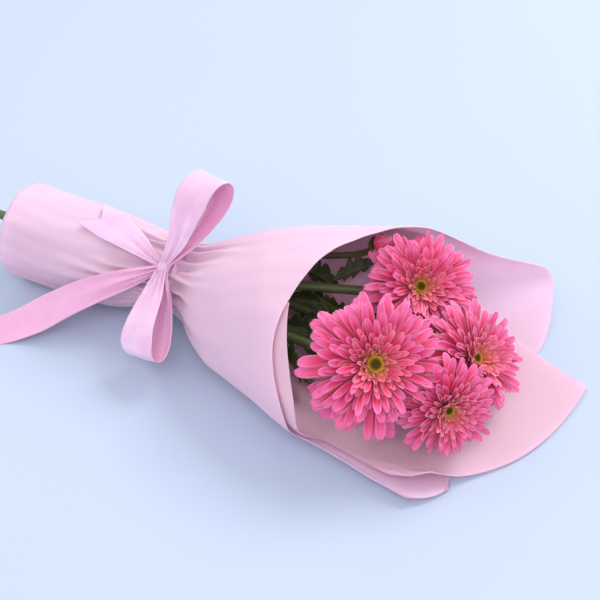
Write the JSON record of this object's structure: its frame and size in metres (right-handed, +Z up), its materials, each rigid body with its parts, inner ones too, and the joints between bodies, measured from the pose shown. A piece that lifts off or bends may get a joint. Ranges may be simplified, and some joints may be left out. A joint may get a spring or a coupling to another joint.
{
  "type": "wrapped flower bouquet",
  "caption": "Bouquet of chrysanthemums lying on its side, rolled in two sheets of pink wrapping and tied at the waist with a satin ribbon",
  "frame": {"origin": "under the middle of the bouquet's box, on the table it lies on", "axes": "+X along the bouquet from the stem ends to the flowers, +Z up from the table"},
  "size_m": [0.384, 0.1962, 0.1064],
  "materials": {
    "outer_wrap": "matte non-woven",
    "inner_wrap": "matte non-woven",
    "ribbon_satin": "satin",
    "petals": "soft matte",
    "inner_petals": "soft matte",
    "flower_disc": "matte, grainy",
    "green_stems": "satin",
    "leaves": "matte"
  },
  "bodies": {
    "root": {"bud_calyx": "green_stems", "bud_petals": "inner_petals", "bud_stem": "green_stems", "flower_front_calyx": "green_stems", "flower_front_disc": "flower_disc", "flower_front_inner_petals": "inner_petals", "flower_front_middle_petals": "petals", "flower_front_outer_petals": "petals", "flower_front_stem": "green_stems", "flower_low_calyx": "green_stems", "flower_low_disc": "flower_disc", "flower_low_inner_petals": "inner_petals", "flower_low_middle_petals": "petals", "flower_low_outer_petals": "petals", "flower_low_stem": "green_stems", "flower_right_calyx": "green_stems", "flower_right_disc": "flower_disc", "flower_right_inner_petals": "inner_petals", "flower_right_middle_petals": "petals", "flower_right_outer_petals": "petals", "flower_right_stem": "green_stems", "flower_top_calyx": "green_stems", "flower_top_disc": "flower_disc", "flower_top_inner_petals": "inner_petals", "flower_top_middle_petals": "petals", "flower_top_outer_petals": "petals", "flower_top_stem": "green_stems", "leaf_bud_low": "leaves", "leaf_bud_near": "leaves", "leaf_front_low": "leaves", "leaf_front_near": "leaves", "leaf_front_side": "leaves", "leaf_low_far": "leaves", "leaf_low_near": "leaves", "leaf_low_under": "leaves", "leaf_right_far": "leaves", "leaf_right_near": "leaves", "leaf_right_upper": "leaves", "leaf_top_far": "leaves", "leaf_top_near": "leaves", "ribbon_back_tail": "ribbon_satin", "ribbon_band": "ribbon_satin", "ribbon_front_tail": "ribbon_satin", "ribbon_knot": "ribbon_satin", "ribbon_lower_loop": "ribbon_satin", "ribbon_upper_loop": "ribbon_satin", "wrap_inner_sheet": "inner_wrap", "wrap_outer_sheet": "outer_wrap"}
  },
  "joints": []
}
